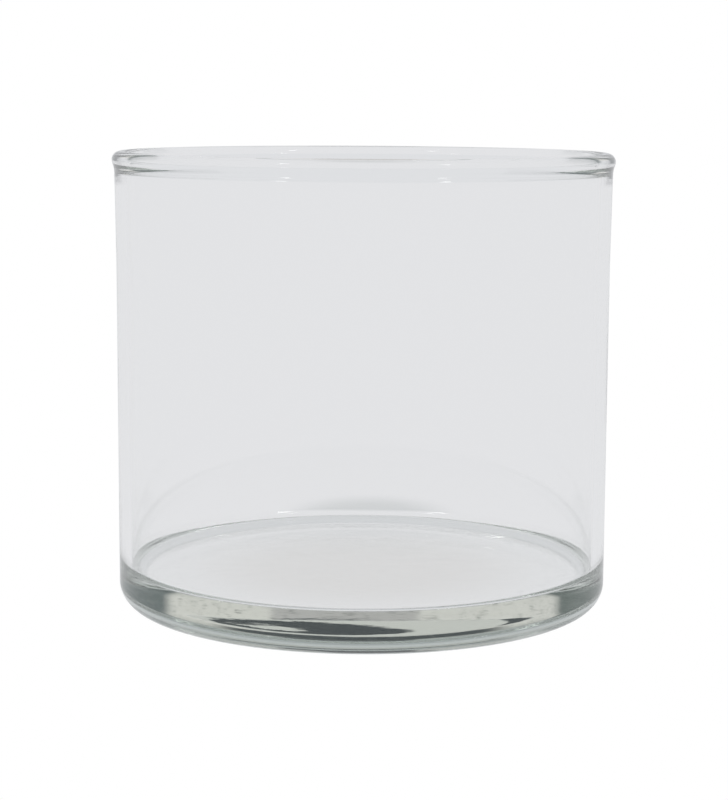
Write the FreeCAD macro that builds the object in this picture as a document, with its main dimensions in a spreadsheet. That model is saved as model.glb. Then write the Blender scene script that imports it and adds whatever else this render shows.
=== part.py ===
import FreeCAD, Part
import Sketcher
import math
import os

# A straight-sided glass dish with a heavy flat bottom and a fire-polished rim, in millimetres.
# It stands on its foot ring at z = 0, centred on the Z axis, and is open at the top.
# The one piece of glass is held as its three worked zones, which meet face to face:
# the thick bottom, the straight wall with its cove, and the melted-back bead of the rim.

SIZES = [
    ("outerDiameter", 100.0, "outside of the straight wall"),
    ("overallHeight", 92.5, "table to the top of the rim"),
    ("wallThickness", 2.5, "the wall, the same all the way up"),
    ("floorThickness", 8.6, "table to the inner floor"),
    ("heelRadius", 5.0, "rounding where the wall turns under the bottom"),
    ("footWidth", 7.0, "flat ring that the dish stands on"),
    ("pushUp", 0.2, "rise of the underside at the centre"),
    ("coveRadius", 1.5, "fillet between the inner floor and the wall"),
    ("neckLength", 18.0, "height over which the wall flares below the bead"),
    ("neckFlare", 0.25, "how far the wall leans out at the top of the neck"),
    ("beadHeight", 4.4, "the bead with its run-out into the neck"),
    ("beadProud", 0.5, "how far the bead stands out from each face of the wall"),
]

doc = FreeCAD.newDocument("crystallizing_dish")
sheet = doc.addObject("Spreadsheet::Sheet", "Sizes")
for row, (name, value, note) in enumerate(SIZES, start=1):
    sheet.set(f"A{row}", name)
    sheet.set(f"B{row}", str(value))
    sheet.set(f"C{row}", note)
    sheet.setAlias(f"B{row}", name)
doc.recompute()

# Radii and heights that more than one zone uses, as formulas of the sheet's sizes.
OUTER_RADIUS = "Sizes.outerDiameter / 2"
NECK_RADIUS = "Sizes.outerDiameter / 2 + Sizes.neckFlare"
NECK_FOOT = "Sizes.overallHeight - Sizes.beadHeight - Sizes.neckLength"
BEAD_FOOT = "Sizes.overallHeight - Sizes.beadHeight"
BEAD_RADIUS = "Sizes.wallThickness / 2 + Sizes.beadProud"

AXIS, TABLE = -2, -1            # a sketch's own vertical and horizontal lines
ORIGIN = (-1, 1)                # the point where they cross
START, END, CENTRE = 1, 2, 3    # the points of an edge


# ---- drawing one half of a round section: x is the radius from the dish's axis, z the height

def point(place):
    return FreeCAD.Vector(place[0], place[1], 0)


def line(start, end):
    return Part.LineSegment(point(start), point(end))


def arc(start, end, centre, long_way=False):
    """The arc from start to end about centre, the short way round unless told otherwise."""
    reach = (point(start) + point(end)) / 2 - point(centre)
    reach.normalize()
    if long_way:
        reach = -reach
    return Part.Arc(point(start), point(centre) + reach * math.dist(start, centre), point(end))


def meeting(sketch, edge, other):
    """The two ends at which the edges meet."""
    pairs = [(edge, a, other, b) for a in (START, END) for b in (START, END)]
    return min(pairs, key=lambda p: sketch.getPoint(*p[:2]).distanceToPoint(sketch.getPoint(*p[2:])))


def hold(sketch, kind, *where):
    sketch.addConstraint(Sketcher.Constraint(kind, *where))


def half_section(name, edges, smooth):
    """A new body with its outline drawn. Edges numbered in smooth run into the next with no corner."""
    body = doc.addObject("PartDesign::Body", name)
    body.Label = name
    sketch = body.newObject("Sketcher::SketchObject", name + "_section")
    planes = {plane.Role: plane for plane in body.Origin.OriginFeatures}
    sketch.AttachmentSupport = [(planes["XZ_Plane"], "")]
    sketch.MapMode = "FlatFace"
    for edge in edges:
        sketch.addGeometry(edge, False)
    for edge in range(len(edges)):
        kind = "Tangent" if edge in smooth else "Coincident"
        hold(sketch, kind, *meeting(sketch, edge, (edge + 1) % len(edges)))
    return body, sketch


def bind(sketch, kind, where, formula):
    """Dimension what is drawn, and bind the dimension to the sheet."""
    if kind == "Radius":
        drawn = sketch.Geometry[where[0]].Radius
    else:
        step = sketch.getPoint(*where[2:]) - sketch.getPoint(*where[:2])
        drawn = step.x if kind == "DistanceX" else step.y
    number = sketch.addConstraint(Sketcher.Constraint(kind, *where, drawn))
    sketch.setExpression(f"Constraints[{number}]", formula)


def turn(body, sketch):
    """Turn the half section once round the dish's axis."""
    doc.recompute()
    if not sketch.FullyConstrained:
        raise RuntimeError(sketch.Label + " is not fully constrained")
    spin = body.newObject("PartDesign::Revolution", body.Label + "_turned")
    spin.Profile = sketch
    spin.ReferenceAxis = (sketch, ["V_Axis"])
    spin.Angle = 360
    doc.recompute()
    return body


# ---- the three zones

def make_base():
    """The bottom up to the inner floor: domed underside, flat foot ring and rounded heel."""
    outer = sheet.outerDiameter / 2
    foot_outer = outer - sheet.heelRadius
    foot_inner = foot_outer - sheet.footWidth
    dome_radius = (foot_inner ** 2 + sheet.pushUp ** 2) / (2 * sheet.pushUp)
    crown, foot_in, foot_out = (0, sheet.pushUp), (foot_inner, 0), (foot_outer, 0)
    heel_top = (outer, sheet.heelRadius)
    floor_edge, floor_centre = (outer, sheet.floorThickness), (0, sheet.floorThickness)

    dome, foot, heel, side, floor, core = range(6)
    body, sketch = half_section("base", [
        arc(crown, foot_in, (0, sheet.pushUp - dome_radius)),
        line(foot_in, foot_out),
        arc(foot_out, heel_top, (foot_outer, sheet.heelRadius)),
        line(heel_top, floor_edge),
        line(floor_edge, floor_centre),
        line(floor_centre, crown),
    ], smooth=(foot, heel))
    hold(sketch, "Horizontal", floor)
    hold(sketch, "Vertical", side)
    hold(sketch, "PointOnObject", foot, START, TABLE)
    hold(sketch, "PointOnObject", foot, END, TABLE)
    hold(sketch, "PointOnObject", core, START, AXIS)
    hold(sketch, "PointOnObject", core, END, AXIS)
    hold(sketch, "PointOnObject", dome, CENTRE, AXIS)
    bind(sketch, "DistanceX", (*ORIGIN, side, END), OUTER_RADIUS)
    bind(sketch, "DistanceY", (*ORIGIN, side, END), "Sizes.floorThickness")
    bind(sketch, "DistanceY", (*ORIGIN, core, END), "Sizes.pushUp")
    bind(sketch, "DistanceX", (foot, START, foot, END), "Sizes.footWidth")
    bind(sketch, "Radius", (heel,), "Sizes.heelRadius")
    return turn(body, sketch)


def make_wall():
    """The wall from the inner floor to the bead: cove, straight tube, and neck leaning outwards."""
    outer, inner = sheet.outerDiameter / 2, sheet.outerDiameter / 2 - sheet.wallThickness
    floor, bead_foot = sheet.floorThickness, sheet.overallHeight - sheet.beadHeight
    neck_foot = bead_foot - sheet.neckLength
    cove_foot, foot_out = (inner - sheet.coveRadius, floor), (outer, floor)
    neck_out, top_out = (outer, neck_foot), (outer + sheet.neckFlare, bead_foot)
    top_in, neck_in = (inner + sheet.neckFlare, bead_foot), (inner, neck_foot)
    cove_top = (inner, floor + sheet.coveRadius)

    foot, outside, neck_outside, top, neck_inside, inside, cove = range(7)
    body, sketch = half_section("wall", [
        line(cove_foot, foot_out),
        line(foot_out, neck_out),
        line(neck_out, top_out),
        line(top_out, top_in),
        line(top_in, neck_in),
        line(neck_in, cove_top),
        arc(cove_top, cove_foot, (inner - sheet.coveRadius, floor + sheet.coveRadius)),
    ], smooth=(inside, cove))
    hold(sketch, "Horizontal", foot)
    hold(sketch, "Horizontal", top)
    hold(sketch, "Vertical", outside)
    hold(sketch, "Vertical", inside)
    bind(sketch, "DistanceX", (*ORIGIN, outside, START), OUTER_RADIUS)
    bind(sketch, "DistanceY", (*ORIGIN, outside, START), "Sizes.floorThickness")
    bind(sketch, "DistanceY", (*ORIGIN, neck_outside, START), NECK_FOOT)
    bind(sketch, "DistanceY", (*ORIGIN, neck_inside, END), NECK_FOOT)
    bind(sketch, "DistanceX", (*ORIGIN, top, START), NECK_RADIUS)
    bind(sketch, "DistanceY", (*ORIGIN, top, START), BEAD_FOOT)
    bind(sketch, "DistanceX", (top, END, top, START), "Sizes.wallThickness")
    bind(sketch, "DistanceX", (inside, START, outside, END), "Sizes.wallThickness")
    bind(sketch, "Radius", (cove,), "Sizes.coveRadius")
    return turn(body, sketch)


def make_rim_bead():
    """The round bead that melting leaves on the cut edge, run out into both faces of the wall."""
    neck_out = sheet.outerDiameter / 2 + sheet.neckFlare
    neck_in, middle = neck_out - sheet.wallThickness, neck_out - sheet.wallThickness / 2
    foot = sheet.overallHeight - sheet.beadHeight
    radius = sheet.wallThickness / 2 + sheet.beadProud
    centre = (middle, sheet.overallHeight - radius)
    hollow = ((sheet.beadHeight - radius) ** 2 + sheet.beadProud ** 2) / (2 * sheet.beadProud) - radius
    outer_centre, inner_centre = (neck_out + hollow, foot), (neck_in - hollow, foot)
    share = radius / (radius + hollow)
    touch_out = (middle + (outer_centre[0] - middle) * share, centre[1] + (foot - centre[1]) * share)
    touch_in = (2 * middle - touch_out[0], touch_out[1])

    seat, run_out, bead, run_in = range(4)
    body, sketch = half_section("rim_bead", [
        line((neck_in, foot), (neck_out, foot)),
        arc((neck_out, foot), touch_out, outer_centre),
        arc(touch_out, touch_in, centre, long_way=True),
        arc(touch_in, (neck_in, foot), inner_centre),
    ], smooth=(run_out, bead))
    hold(sketch, "Horizontal", seat)
    hold(sketch, "Horizontal", run_out, CENTRE, seat, END)
    hold(sketch, "Horizontal", run_in, CENTRE, seat, START)
    bind(sketch, "DistanceX", (*ORIGIN, seat, END), NECK_RADIUS)
    bind(sketch, "DistanceY", (*ORIGIN, seat, END), BEAD_FOOT)
    bind(sketch, "DistanceX", (seat, START, seat, END), "Sizes.wallThickness")
    bind(sketch, "DistanceX", (bead, CENTRE, seat, END), "Sizes.wallThickness / 2")
    bind(sketch, "DistanceY", (*ORIGIN, bead, CENTRE), "Sizes.overallHeight - (" + BEAD_RADIUS + ")")
    bind(sketch, "Radius", (bead,), BEAD_RADIUS)
    return turn(body, sketch)


parts = [make_base(), make_wall(), make_rim_bead()]
doc.recompute()

# ---- checks, then one file for each zone

for item in doc.Objects:
    if "Invalid" in item.State or "Error" in item.State:
        raise RuntimeError(f"{item.Label} did not build: {item.State}")
for part in parts:
    if part.Shape.isNull() or not part.Shape.isValid() or part.Shape.Volume <= 0:
        raise RuntimeError(f"{part.Label} has no valid shape")

os.makedirs("parts", exist_ok=True)
for part in parts:
    part.Shape.exportStep(f"parts/{part.Label}.step")
    box = part.Shape.optimalBoundingBox()
    print(f"{part.Label}: {part.Shape.Volume / 1000:.2f} cm3, radius {box.XMax:.2f} mm, "
          f"z {box.ZMin:.2f} to {box.ZMax:.2f} mm")
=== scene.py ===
import bpy
import bmesh
import math
from mathutils import Matrix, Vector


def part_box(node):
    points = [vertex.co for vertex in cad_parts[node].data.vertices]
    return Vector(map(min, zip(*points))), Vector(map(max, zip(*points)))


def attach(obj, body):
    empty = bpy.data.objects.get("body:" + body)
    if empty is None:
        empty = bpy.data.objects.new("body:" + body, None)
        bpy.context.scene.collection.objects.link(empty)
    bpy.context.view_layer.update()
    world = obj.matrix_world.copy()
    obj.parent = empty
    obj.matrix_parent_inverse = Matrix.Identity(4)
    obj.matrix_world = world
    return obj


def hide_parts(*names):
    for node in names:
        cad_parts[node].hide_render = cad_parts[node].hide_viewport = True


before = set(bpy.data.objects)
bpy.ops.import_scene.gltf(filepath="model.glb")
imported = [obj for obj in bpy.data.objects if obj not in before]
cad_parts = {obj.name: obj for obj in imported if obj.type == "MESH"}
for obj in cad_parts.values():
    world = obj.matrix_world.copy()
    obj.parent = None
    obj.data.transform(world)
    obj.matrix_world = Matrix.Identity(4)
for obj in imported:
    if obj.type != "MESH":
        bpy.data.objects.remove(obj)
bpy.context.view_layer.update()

# Sizes that the frame gives; the rest of the dish's shape is in its dictionary
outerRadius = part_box("base")[1].x
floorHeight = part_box("base")[1].z
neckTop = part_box("wall")[1].z
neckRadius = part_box("wall")[1].x
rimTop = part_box("rim_bead")[1].z
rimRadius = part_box("rim_bead")[1].x


dish = {
    "segments": 240,            # faces round the dish
    "wallThickness": 0.0025,
    "heelRadius": 0.005,
    "heelSteps": 16,
    "bottomRows": 4,
    "nearRow": 0.0003,          # narrow rows beside each rounding, so flat faces shade flat
    "lowRow": 0.0015,           # first row of the wall above the cove
    "footWidth": 0.007,
    "pushUp": 0.0002,           # rise of the underside at its centre
    "coveRadius": 0.0015,
    "coveSteps": 8,
    "neckLength": 0.018,
    "neckSteps": 6,
    "wallRows": 18,
    "runOutSteps": 8,
    "runOutEnd": -50,           # where the run-out gives way to the bead, degrees below its middle
    "beadSteps": 20,
    "crestWidth": 0.0001,       # flat left at the very top of the bead
    "discRings": 20,            # rings across the inner floor and across the underside
    "floorZone": (0.004, 0.002),    # lowest height, and margin above the floor, of its waves
    "floorFade": (0.001, 0.012),    # from the wall, where the floor's waves begin and are full
    "underZone": 0.003,             # highest point that counts as the underside
    "underFade": 0.004,
    "wallZone": 0.001,              # how far inside the wall's face still counts as the wall
    "wallFade": (0.01, 0.008),      # above the floor and below the bead
    "waveDetail": 1,
    "waves": [                  # zone, size of the waves, how far they push the surface
        ("wallWaves", 0.022, 0.00002),
        ("floorWaves", 0.016, 0.00001),
        ("underWaves", 0.006, 0.000012),
    ],
}


sameHeight = 1e-6               # heights this near to each other are one row
sameRadius = 1e-4


def pick(piece, kind, test):
    # select only what the test says, in edit mode
    bpy.ops.mesh.select_mode(type=kind)
    bpy.ops.mesh.select_all(action="DESELECT")
    mesh = bmesh.from_edit_mesh(piece.data)
    for item in {"VERT": mesh.verts, "EDGE": mesh.edges, "FACE": mesh.faces}[kind]:
        if test(item):
            item.select_set(True)
    mesh.select_flush_mode()
    bmesh.update_edit_mesh(piece.data)


def radiusOf(vert):
    return math.hypot(vert.co.x, vert.co.y)


def atHeight(vert, z):
    return abs(vert.co.z - z) < sameHeight


def allAt(item, z):
    return all(atHeight(v, z) for v in item.verts)


def facesUp(face):
    return face.normal.z > 0.9


def facesDown(face):
    return face.normal.z < -0.9


def raiseBy(height):
    bpy.ops.mesh.extrude_region_move(TRANSFORM_OT_translate={"value": (0, 0, height)})


def widen(scale):
    bpy.ops.transform.resize(value=(scale, scale, 1), center_override=(0, 0, 0))


def raiseRing(piece, fromHeight, toHeight, outside, inside):
    # extrude the flat ring of faces upwards, then scale its outer and inner loop
    mesh = bmesh.from_edit_mesh(piece.data)
    loop = [radiusOf(v) for v in mesh.verts if v.select]
    wasOutside, wasInside = max(loop), min(loop)
    middle = (wasOutside + wasInside) / 2
    raiseBy(toHeight - fromHeight)
    pick(piece, "VERT", lambda v: atHeight(v, toHeight) and radiusOf(v) > middle)
    widen(outside / wasOutside)
    pick(piece, "VERT", lambda v: atHeight(v, toHeight) and radiusOf(v) < middle)
    widen(inside / wasInside)
    pick(piece, "FACE", lambda f: allAt(f, toHeight) and facesUp(f))


def beadHalfWidth(z):
    # the bead's round section above, its hollow run-out into the neck below
    half = dish["wallThickness"] / 2
    middle = neckRadius - half
    beadRadius = rimRadius - middle
    proud = beadRadius - half
    centre = rimTop - beadRadius
    hollow = ((centre - neckTop) ** 2 + proud ** 2) / (2 * proud) - beadRadius
    touch = centre + (neckTop - centre) * beadRadius / (beadRadius + hollow)
    if z < touch:
        return half + hollow - math.sqrt(hollow ** 2 - (z - neckTop) ** 2)
    return math.sqrt(max(beadRadius ** 2 - (z - centre) ** 2, 0))


def makeDish():
    wall = dish["wallThickness"]
    inner = outerRadius - wall
    near = dish["nearRow"]
    puckHeight = dish["heelRadius"] + near
    bpy.ops.object.select_all(action="DESELECT")
    bpy.ops.mesh.primitive_cylinder_add(vertices=dish["segments"], radius=outerRadius, depth=puckHeight,
                                        location=(0, 0, puckHeight / 2), end_fill_type="NGON")
    piece = bpy.context.object
    piece.name = "dish_glass"
    bpy.ops.object.transform_apply(location=True, rotation=True, scale=True)
    bpy.ops.object.mode_set(mode="EDIT")

    # the bottom is built up in rows to the inner floor
    pick(piece, "FACE", facesUp)
    for row in range(dish["bottomRows"]):
        raiseBy((floorHeight - puckHeight) / dish["bottomRows"])

    # the wall is raised from a ring round the edge of the bottom
    bpy.ops.mesh.inset(thickness=wall)
    pick(piece, "FACE", lambda f: facesUp(f) and len(f.verts) == 4)
    neckFoot = neckTop - dish["neckLength"]
    coveTop = floorHeight + dish["coveRadius"]
    z = floorHeight
    lowRow = coveTop + dish["lowRow"]
    rows = [coveTop + near, lowRow]
    for row in range(1, dish["wallRows"] + 1):
        rows.append(lowRow + (neckFoot - lowRow) * row / dish["wallRows"])
    for nextZ in rows:
        raiseRing(piece, z, nextZ, outerRadius, inner)
        z = nextZ
    for row in range(1, dish["neckSteps"] + 1):
        share = row / dish["neckSteps"]
        lean = (neckRadius - outerRadius) * share
        nextZ = neckFoot + dish["neckLength"] * share
        raiseRing(piece, z, nextZ, outerRadius + lean, inner + lean)
        z = nextZ
    print("wall raised")

    # the bead: run-out first, then round and over
    middle = neckRadius - wall / 2
    radius = rimRadius - middle
    centre = rimTop - radius
    start = math.radians(dish["runOutEnd"])
    heights = [neckTop + (centre + radius * math.sin(start) - neckTop) * (i + 1) / dish["runOutSteps"]
               for i in range(dish["runOutSteps"])]
    end = math.acos(dish["crestWidth"] / 2 / radius)
    heights += [centre + radius * math.sin(start + (end - start) * (i + 1) / dish["beadSteps"])
                for i in range(dish["beadSteps"])]
    for nextZ in heights:
        half = beadHalfWidth(nextZ)
        raiseRing(piece, z, nextZ, middle + half, middle - half)
        z = nextZ
    print("bead formed")

    # cove inside, heel outside
    def onCorner(edge):
        return allAt(edge, floorHeight) and all(abs(radiusOf(v) - inner) < sameRadius for v in edge.verts)

    pick(piece, "EDGE", onCorner)
    bpy.ops.mesh.bevel(offset=dish["coveRadius"], segments=dish["coveSteps"], profile=0.5, affect="EDGES")
    pick(piece, "EDGE", lambda e: allAt(e, 0))
    bpy.ops.mesh.bevel(offset=dish["heelRadius"], segments=dish["heelSteps"], profile=0.5, affect="EDGES")

    # inner floor in rings, drawn together at the centre
    rings = dish["discRings"]
    pick(piece, "FACE", lambda f: facesUp(f) and len(f.verts) > 4)
    bpy.ops.mesh.inset(thickness=near)
    floorRadius = inner - dish["coveRadius"] - near
    for ring in range(rings - 1):
        bpy.ops.mesh.inset(thickness=floorRadius / rings)
    bpy.ops.mesh.merge(type="COLLAPSE")

    # underside: flat foot ring, then a shallow dome
    pick(piece, "FACE", lambda f: facesDown(f) and len(f.verts) > 4)
    halfFoot = dish["footWidth"] / 2 - near
    for width in (near, halfFoot, halfFoot, near):
        bpy.ops.mesh.inset(thickness=width)
    domeRadius = outerRadius - dish["heelRadius"] - dish["footWidth"]
    for ring in range(rings - 1):
        here, there = 1 - ring / rings, 1 - (ring + 1) / rings
        rise = dish["pushUp"] * (here ** 2 - there ** 2)
        bpy.ops.mesh.inset(thickness=domeRadius / rings, depth=-rise)
    bpy.ops.mesh.merge(type="COLLAPSE")
    bpy.ops.object.mode_set(mode="OBJECT")
    bpy.ops.object.shade_smooth()
    print("bottom finished", len(piece.data.vertices), "vertices")
    return piece


glass = makeDish()


def zoneWeights(piece):
    # how much of each kind of wave a point takes, fading out where the zones meet
    def fade(x, low, high):
        t = min(max((x - low) / (high - low), 0), 1)
        return t * t * (3 - 2 * t)

    inner = outerRadius - dish["wallThickness"]
    foot = outerRadius - dish["heelRadius"]
    lowest, margin = dish["floorZone"]
    aboveFloor, belowBead = dish["wallFade"]
    groups = {name: piece.vertex_groups.new(name=name) for name, size, push in dish["waves"]}
    for v in piece.data.vertices:
        r, z = radiusOf(v), v.co.z
        onFloor, under, onWall = 0, 0, 0
        if lowest < z < floorHeight + margin:
            onFloor = fade(inner - r, *dish["floorFade"])
        if z < dish["underZone"]:
            under = fade(foot - dish["footWidth"] - r, 0, dish["underFade"])
        if r > inner - dish["wallZone"]:
            onWall = fade(z, floorHeight, floorHeight + aboveFloor) * fade(neckTop - z, 0, belowBead)
        groups["wallWaves"].add([v.index], onWall, "REPLACE")
        groups["floorWaves"].add([v.index], onFloor, "REPLACE")
        groups["underWaves"].add([v.index], under, "REPLACE")


def addWaves(piece):
    zoneWeights(piece)
    bpy.ops.object.select_all(action="DESELECT")
    piece.select_set(True)
    bpy.context.view_layer.objects.active = piece
    for name, size, push in dish["waves"]:
        texture = bpy.data.textures.new(name, "CLOUDS")
        texture.noise_scale = size
        texture.noise_depth = dish["waveDetail"]
        wave = piece.modifiers.new(name, "DISPLACE")
        wave.texture = texture
        wave.texture_coords = "LOCAL"
        wave.vertex_group = name
        wave.strength = push
        wave.mid_level = 0.5        # in and out alike
        bpy.ops.object.modifier_apply(modifier=wave.name)
    print("waves pressed in")


addWaves(glass)


glassLook = {
    "ior": 1.5,
    "absorbColor": (0.976, 0.980, 0.976, 1),
    "absorbDensity": 100.0,
    "clear": (1, 1, 1),
    "heelPaintedShade": (0.55, 0.58, 0.58),     # painted shade: grey that stands in for dark surroundings seen in the heel
    "heelSoft": 0.0012,
    "footRough": 0.10,
    "scuffSize": (0.0016, 0.0016, 0.0016),
    "scuffEdges": (0.35, 0.65),         # where a patch begins and is full, here and below
    "smearSize": (0.030, 0.030, 0.012),
    "smearEdges": (0.48, 0.66),
    "smearRough": 0.012,
    "drawSize": (0.0022, 0.0022, 0.040),    # faint upright lines left by forming
    "drawEdges": (0.2, 0.8),
    "drawHeight": 0.0000012,
    "patchDetail": 3,
}

mixFactor, mixUnder, mixOver, mixedColour = 0, 6, 7, 2      # a colour Mix node's own sockets


def sums(tree, operation, a, b=None):
    # one step of arithmetic, on plain numbers or on what other nodes put out
    node = tree.nodes.new("ShaderNodeMath")
    node.operation = operation
    for socket, value in zip(node.inputs, (a, b)):
        if isinstance(value, (int, float)):
            socket.default_value = value
        elif value is not None:
            tree.links.new(value, socket)
    if operation == "COMPARE":
        node.inputs[2].default_value = 0.5      # whole counts, so half a step either way
    return node.outputs[0]


def smooth(tree, value, low, high):
    # 0 at low, 1 at high, eased between; low may be the greater
    node = tree.nodes.new("ShaderNodeMapRange")
    node.interpolation_type = "SMOOTHSTEP"
    tree.links.new(value, node.inputs["Value"])
    for name, edge in (("From Min", low), ("From Max", high)):
        if isinstance(edge, (int, float)):
            node.inputs[name].default_value = edge
        else:
            tree.links.new(edge, node.inputs[name])
    return node.outputs["Result"]


def paint(tree, mask, under, over):
    # one colour laid over another where the mask is 1
    mix = tree.nodes.new("ShaderNodeMix")
    mix.data_type = "RGBA"
    tree.links.new(mask, mix.inputs[mixFactor])
    for socket, colour in ((mix.inputs[mixUnder], under), (mix.inputs[mixOver], over)):
        if isinstance(colour, tuple):
            socket.default_value = (*colour, 1)
        else:
            tree.links.new(colour, socket)
    return mix.outputs[mixedColour]


def newGroup(name, inputs, outputs):
    group = bpy.data.node_groups.new(name, "ShaderNodeTree")
    for label, kind in inputs:
        group.interface.new_socket(label, in_out="INPUT", socket_type=kind)
    for label, kind in outputs:
        group.interface.new_socket(label, in_out="OUTPUT", socket_type=kind)
    return group, group.nodes.new("NodeGroupInput"), group.nodes.new("NodeGroupOutput")


def makePatchyGroup():
    # soft patches of a given size, from 0 to 1, for smears, scuffs and forming lines
    takes = [("Place", "NodeSocketVector"), ("Size", "NodeSocketVector"),
             ("Low", "NodeSocketFloat"), ("High", "NodeSocketFloat")]
    group, given, result = newGroup("patchy", takes, [("Mask", "NodeSocketFloat")])
    scaled = group.nodes.new("ShaderNodeVectorMath")
    scaled.operation = "DIVIDE"
    group.links.new(given.outputs["Place"], scaled.inputs[0])
    group.links.new(given.outputs["Size"], scaled.inputs[1])
    noise = group.nodes.new("ShaderNodeTexNoise")
    noise.inputs["Scale"].default_value = 1.0
    noise.inputs["Detail"].default_value = glassLook["patchDetail"]
    group.links.new(scaled.outputs[0], noise.inputs["Vector"])
    mask = smooth(group, noise.outputs["Fac"], given.outputs["Low"], given.outputs["High"])
    group.links.new(mask, result.inputs["Mask"])
    return group


def patchy(tree, group, place, size, edges):
    node = tree.nodes.new("ShaderNodeGroup")
    node.node_tree = group
    tree.links.new(place, node.inputs["Place"])
    node.inputs["Size"].default_value = size
    node.inputs["Low"].default_value, node.inputs["High"].default_value = edges
    return node.outputs["Mask"]


def makeGlass():
    material = bpy.data.materials.new("clearGlass")
    material.use_nodes = True
    tree = material.node_tree
    nodes, links = tree.nodes, tree.links
    shader = nodes["Principled BSDF"]
    shader.inputs["IOR"].default_value = glassLook["ior"]
    shader.inputs["Transmission Weight"].default_value = 1.0

    place = nodes.new("ShaderNodeTexCoord").outputs["Object"]
    split = nodes.new("ShaderNodeSeparateXYZ")
    links.new(place, split.inputs[0])
    flat = nodes.new("ShaderNodeVectorMath")
    flat.operation = "MULTIPLY"
    flat.inputs[1].default_value = (1, 1, 0)
    links.new(place, flat.inputs[0])
    reach = nodes.new("ShaderNodeVectorMath")
    reach.operation = "LENGTH"
    links.new(flat.outputs[0], reach.inputs[0])
    radius, height = reach.outputs["Value"], split.outputs["Z"]

    # the heel is painted grey, a painted shade for the dark surroundings seen in it, and the foot ring
    # scuffed where it has stood and been slid about
    group = makePatchyGroup()
    soft = glassLook["heelSoft"]
    footOutside = outerRadius - dish["heelRadius"]
    footInside = footOutside - dish["footWidth"]
    low = smooth(tree, height, dish["heelRadius"], dish["heelRadius"] - soft)
    heel = sums(tree, "MULTIPLY", low, smooth(tree, radius, footOutside - soft, footOutside))
    # painted shade: the heel's base colour turned grey where the mask is 1
    heelShaded = paint(tree, heel, glassLook["clear"], glassLook["heelPaintedShade"])
    links.new(heelShaded, shader.inputs["Base Color"])
    ring = smooth(tree, radius, footInside - soft, footInside)
    ring = sums(tree, "MULTIPLY", ring, sums(tree, "LESS_THAN", height, soft))
    scuffs = patchy(tree, group, place, glassLook["scuffSize"], glassLook["scuffEdges"])
    scuffs = sums(tree, "MULTIPLY", ring, scuffs)
    smears = patchy(tree, group, place, glassLook["smearSize"], glassLook["smearEdges"])
    rough = sums(tree, "ADD", sums(tree, "MULTIPLY", scuffs, glassLook["footRough"]),
                 sums(tree, "MULTIPLY", smears, glassLook["smearRough"]))
    links.new(rough, shader.inputs["Roughness"])
    drawn = patchy(tree, group, place, glassLook["drawSize"], glassLook["drawEdges"])
    bump = nodes.new("ShaderNodeBump")
    bump.inputs["Distance"].default_value = glassLook["drawHeight"]
    links.new(drawn, bump.inputs["Height"])
    links.new(bump.outputs["Normal"], shader.inputs["Normal"])

    volume = nodes.new("ShaderNodeVolumeAbsorption")
    volume.inputs["Color"].default_value = glassLook["absorbColor"]
    volume.inputs["Density"].default_value = glassLook["absorbDensity"]
    links.new(volume.outputs["Volume"], nodes["Material Output"].inputs["Volume"])
    print("glass finished")
    return material


glass.data.materials.clear()
glass.data.materials.append(makeGlass())
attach(glass, "root")
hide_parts("base", "wall", "rim_bead")


# The stage: a plain floor, white when seen directly, and grey through the glass with painted shade under
# and behind the dish
stage = {
    "floorSize": 12.0,
    "floorGap": 0.00004,        # keeps the foot ring from lying exactly in the floor
    "floorSeen": (1, 1, 1),
    "floorThroughGlass": (0.775, 0.779, 0.797),
    "underShadeColor": (0.665, 0.650, 0.642),    # painted shade: the floor under the dish, darker and a little warmer
    "underShadeSize": (0.046, 0.046),
    "shadeColor": (0.62, 0.635, 0.645),     # soft shade behind the dish
    "shadeCentre": (0.002, 0.092),
    "shadeSize": (0.026, 0.030),
    "spotFull": 0.35,           # share of a soft spot's size at which it is full
    "bandColor": (0.045, 0.055, 0.060),     # the same shade as the thick bottom shows it
    "bandEdge": 0.0758,
    "bandBlur": 0.0006,
    "bandSlant": 3.2,
    "bandRough": 0.0012,
    "rippleScale": 900,
    "rippleDetail": 2,
    "bandPatch": (-0.00235, 0.012, 0.046, 0.100),   # left, right, near and far edge of that shade
    "leftBlur": 0.0002,
    "nearBlur": 0.001,
    "farBlur": 0.02,
    "bandPale": (0.63, 0.635, 0.61),
    "timesThrough": 2.0,        # into the thick bottom and out of it
}


def softSpot(tree, coords, centre, size):
    # 1 in the middle of an ellipse on the floor, 0 outside it
    place = tree.nodes.new("ShaderNodeMapping")
    place.vector_type = "TEXTURE"
    place.inputs["Location"].default_value = (*centre, 0)
    place.inputs["Scale"].default_value = (*size, 1)
    spread = tree.nodes.new("ShaderNodeVectorMath")
    spread.operation = "LENGTH"
    fade = tree.nodes.new("ShaderNodeMapRange")
    fade.interpolation_type = "SMOOTHSTEP"
    fade.inputs["From Min"].default_value = 1.0
    fade.inputs["From Max"].default_value = stage["spotFull"]
    tree.links.new(coords, place.inputs["Vector"])
    tree.links.new(place.outputs["Vector"], spread.inputs[0])
    tree.links.new(spread.outputs["Value"], fade.inputs["Value"])
    return fade.outputs["Result"]


def insideBottom(tree, path):
    # 1 for light that has bounced about inside the thick bottom and left it again
    bounced = sums(tree, "MINIMUM", path.outputs["Glossy Depth"], 1)
    through = sums(tree, "COMPARE", path.outputs["Transmission Depth"], stage["timesThrough"])
    return sums(tree, "MULTIPLY", bounced, through)


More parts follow.
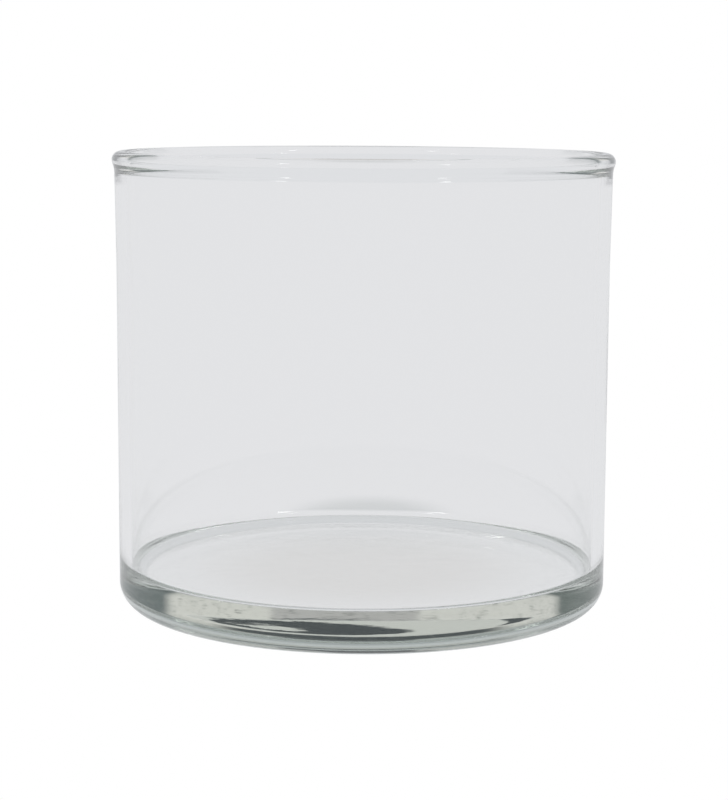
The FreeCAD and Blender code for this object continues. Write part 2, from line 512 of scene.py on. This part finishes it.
def makeFloor():
    bpy.ops.object.select_all(action="DESELECT")
    bpy.ops.mesh.primitive_plane_add(size=stage["floorSize"], location=(0, 0, -stage["floorGap"]))
    floor = bpy.context.object
    floor.name = "floor"
    material = bpy.data.materials.new("paleFloor")
    material.use_nodes = True
    tree = material.node_tree
    nodes, links = tree.nodes, tree.links
    nodes.clear()
    path = nodes.new("ShaderNodeLightPath")
    coords = nodes.new("ShaderNodeTexCoord").outputs["Object"]
    # painted shade under the dish, seen only through the glass
    under = softSpot(tree, coords, (0, 0), stage["underShadeSize"])
    colour = paint(tree, under, stage["floorThroughGlass"], stage["underShadeColor"])
    shade = softSpot(tree, coords, stage["shadeCentre"], stage["shadeSize"])
    colour = paint(tree, shade, colour, stage["shadeColor"])

    # the darker shade that only the thick bottom shows, its front edge slanting and uneven
    split = nodes.new("ShaderNodeSeparateXYZ")
    links.new(coords, split.inputs[0])
    ripple = nodes.new("ShaderNodeTexNoise")
    ripple.inputs["Scale"].default_value = stage["rippleScale"]
    ripple.inputs["Detail"].default_value = stage["rippleDetail"]
    links.new(coords, ripple.inputs["Vector"])
    x, y = split.outputs["X"], split.outputs["Y"]
    uneven = sums(tree, "MULTIPLY", sums(tree, "SUBTRACT", ripple.outputs["Fac"], 0.5), stage["bandRough"])
    edge = sums(tree, "ADD", y, sums(tree, "MULTIPLY", x, stage["bandSlant"]))
    edge = sums(tree, "ADD", edge, uneven)
    blur = stage["bandBlur"]
    dark = smooth(tree, edge, stage["bandEdge"] + blur, stage["bandEdge"] - blur)
    left, right, near, far = stage["bandPatch"]
    blur = stage["leftBlur"]
    leftEdge = smooth(tree, sums(tree, "ADD", x, uneven), left - blur, left + blur)
    dark = sums(tree, "MULTIPLY", dark, leftEdge)
    nearEdge = smooth(tree, y, near - stage["nearBlur"], near)
    farEdge = smooth(tree, y, far + stage["farBlur"], far)
    behind = sums(tree, "MULTIPLY", nearEdge, farEdge)
    between = sums(tree, "LESS_THAN", sums(tree, "ABSOLUTE", x), right)
    behind = sums(tree, "MULTIPLY", behind, between)
    behind = sums(tree, "MULTIPLY", behind, insideBottom(tree, path))
    colour = paint(tree, behind, colour, paint(tree, dark, stage["bandPale"], stage["bandColor"]))

    output = nodes.new("ShaderNodeOutputMaterial")
    mix = nodes.new("ShaderNodeMixShader")
    seen = nodes.new("ShaderNodeEmission")
    seen.inputs["Color"].default_value = (*stage["floorSeen"], 1)
    through = nodes.new("ShaderNodeEmission")
    links.new(colour, through.inputs["Color"])
    links.new(path.outputs["Is Camera Ray"], mix.inputs[0])
    links.new(through.outputs[0], mix.inputs[1])
    links.new(seen.outputs[0], mix.inputs[2])
    links.new(mix.outputs[0], output.inputs["Surface"])
    floor.data.materials.append(material)
    print("floor laid")


makeFloor()


# What the dish reflects and refracts: soft-edged patches painted over each other, azimuth
# as seen from the dish, 0 straight behind it, positive to the right, 180 behind the camera
roomLight = {
    "walls": (0.74, 0.75, 0.77),
    "seen": 1.0,
    "tilt": 0.022,              # how much the edges of the patches rise per degree to the left
    "fleckSize": (0.35, 9.0),   # flecks per degree, along and upwards
    "fleckEdges": (0.58, 0.67),
    "fleckDetail": 2,
    "fleckDark": (0.20, 0.21, 0.20),
    "patches": [
        # name, azimuth middle, half width, softness, elevation low, high, softness, colour
        ("haze", 0, 60, 4, 10, 24, 3, (0.49, 0.48, 0.475)),
        ("windowRight", 27, 14, 1, 8, 22, 1, (0.71, 0.70, 0.665)),
        ("windowLeft", -24, 16, 1, 8, 22, 1, (0.71, 0.70, 0.67)),
        ("sideRight", 73.5, 35.5, 3, 4, 26, 2, (0.10, 0.13, 0.13)),
        ("sideLeft", -73, 34, 3, 4, 26, 2, (0.10, 0.13, 0.12)),
        ("doorway", 0, 22, 4, -3, 11.8, 0.4, (0.060, 0.072, 0.078)),
        ("darkWall", 2, 10, 1.2, 14.1, 26, 0.1, (0.050, 0.062, 0.068)),
    ],
    "lamps": [
        ("lampRight", 136, 2.5, 0.8, 40, 46, 0.8, (10, 10, 10)),
        ("lampLeft", -136, 2.5, 0.8, 40, 46, 0.8, (10, 10, 10)),
    ],
    "sparkBounces": 1.0,
    "sparkThrough": 2.5,        # only light that has gone in and out more often than this
    "sparks": [                 # the lamps again, lower, as the cove alone mirrors them
        ("sparkRight", 137, 4, 1, 8, 24, 1, (9, 9, 9)),
        ("sparkLeft", -137, 4, 1, 8, 24, 1, (9, 9, 9)),
    ],
}


def makeWorld():
    world = bpy.data.worlds.new("room")
    bpy.context.scene.world = world
    world.use_nodes = True
    tree = world.node_tree
    nodes, links = tree.nodes, tree.links
    nodes.clear()
    coords = nodes.new("ShaderNodeTexCoord")
    split = nodes.new("ShaderNodeSeparateXYZ")
    links.new(coords.outputs["Generated"], split.inputs[0])
    azimuth = sums(tree, "DEGREES", sums(tree, "ARCTAN2", split.outputs["X"], split.outputs["Y"]))
    level = sums(tree, "DEGREES", sums(tree, "ARCSINE", split.outputs["Z"]))
    tilted = sums(tree, "MULTIPLY", sums(tree, "MINIMUM", azimuth, 0), roomLight["tilt"])
    elevation = sums(tree, "ADD", level, tilted)
    path = nodes.new("ShaderNodeLightPath")
    inside = insideBottom(tree, path)

    def patchMask(middle, half, softAz, low, high, softEl):
        bottom = smooth(tree, elevation, low - softEl, low + softEl)
        top = smooth(tree, elevation, high + softEl, high - softEl)
        mask = sums(tree, "MULTIPLY", bottom, top)
        away = sums(tree, "ABSOLUTE", sums(tree, "SUBTRACT", azimuth, middle))
        return sums(tree, "MULTIPLY", mask, smooth(tree, away, half + softAz, half - softAz))

    colour = roomLight["walls"]
    for name, *shape, patch in roomLight["patches"]:
        colour = paint(tree, sums(tree, "MULTIPLY", patchMask(*shape), inside), colour, patch)

    # small dark flecks, long and thin, as unevenness of the bottom breaks up what is behind it
    stretch = nodes.new("ShaderNodeCombineXYZ")
    along, upwards = roomLight["fleckSize"]
    links.new(sums(tree, "MULTIPLY", azimuth, along), stretch.inputs["X"])
    links.new(sums(tree, "MULTIPLY", elevation, upwards), stretch.inputs["Y"])
    fleck = nodes.new("ShaderNodeTexNoise")
    fleck.inputs["Scale"].default_value = 1.0
    fleck.inputs["Detail"].default_value = roomLight["fleckDetail"]
    links.new(stretch.outputs[0], fleck.inputs["Vector"])
    flecks = smooth(tree, fleck.outputs["Fac"], *roomLight["fleckEdges"])
    colour = paint(tree, sums(tree, "MULTIPLY", flecks, inside), colour, roomLight["fleckDark"])

    for name, *shape, patch in roomLight["lamps"]:
        colour = paint(tree, patchMask(*shape), colour, patch)
    once = sums(tree, "COMPARE", path.outputs["Glossy Depth"], roomLight["sparkBounces"])
    deep = sums(tree, "GREATER_THAN", path.outputs["Transmission Depth"], roomLight["sparkThrough"])
    once = sums(tree, "MULTIPLY", once, deep)
    for name, *shape, patch in roomLight["sparks"]:
        colour = paint(tree, sums(tree, "MULTIPLY", patchMask(*shape), once), colour, patch)

    seen = nodes.new("ShaderNodeBackground")
    seen.inputs["Strength"].default_value = roomLight["seen"]
    seen.inputs["Color"].default_value = (1, 1, 1, 1)
    room = nodes.new("ShaderNodeBackground")
    links.new(colour, room.inputs["Color"])
    mix = nodes.new("ShaderNodeMixShader")
    links.new(path.outputs["Is Camera Ray"], mix.inputs[0])
    links.new(room.outputs[0], mix.inputs[1])
    links.new(seen.outputs[0], mix.inputs[2])
    output = nodes.new("ShaderNodeOutputWorld")
    links.new(mix.outputs[0], output.inputs["Surface"])
    print("room painted")


makeWorld()


view = {
    "distance": 8.77,           # from the dish's axis, in outer radii
    "height": 2.080,            # above the floor, in outer radii
    "aside": 0.0062,            # to the right of the axis, in outer radii
    "pitch": 8.089,             # degrees down
    "roll": 0.308,
    "lens": 96.85,
    "sensor": 36,
    "clip": (0.01, 50),
    "bounces": 40,              # light crosses the thick bottom many times
}


def makeCamera():
    data = bpy.data.cameras.new("camera")
    data.lens = view["lens"]
    data.sensor_width = view["sensor"]
    data.clip_start, data.clip_end = view["clip"]
    camera = bpy.data.objects.new("camera", data)
    bpy.context.scene.collection.objects.link(camera)
    aside, distance, height = (view[name] * outerRadius for name in ("aside", "distance", "height"))
    place = Matrix.Translation((aside, -distance, height))
    tilt = Matrix.Rotation(math.radians(90 - view["pitch"]), 4, "X")
    camera.matrix_world = place @ tilt @ Matrix.Rotation(math.radians(view["roll"]), 4, "Z")
    bpy.context.scene.camera = camera
    print("camera placed")


makeCamera()
bpy.context.scene.view_settings.view_transform = "Standard"
cycles = bpy.context.scene.cycles
cycles.max_bounces = view["bounces"]
cycles.transmission_bounces = view["bounces"]
cycles.glossy_bounces = view["bounces"]
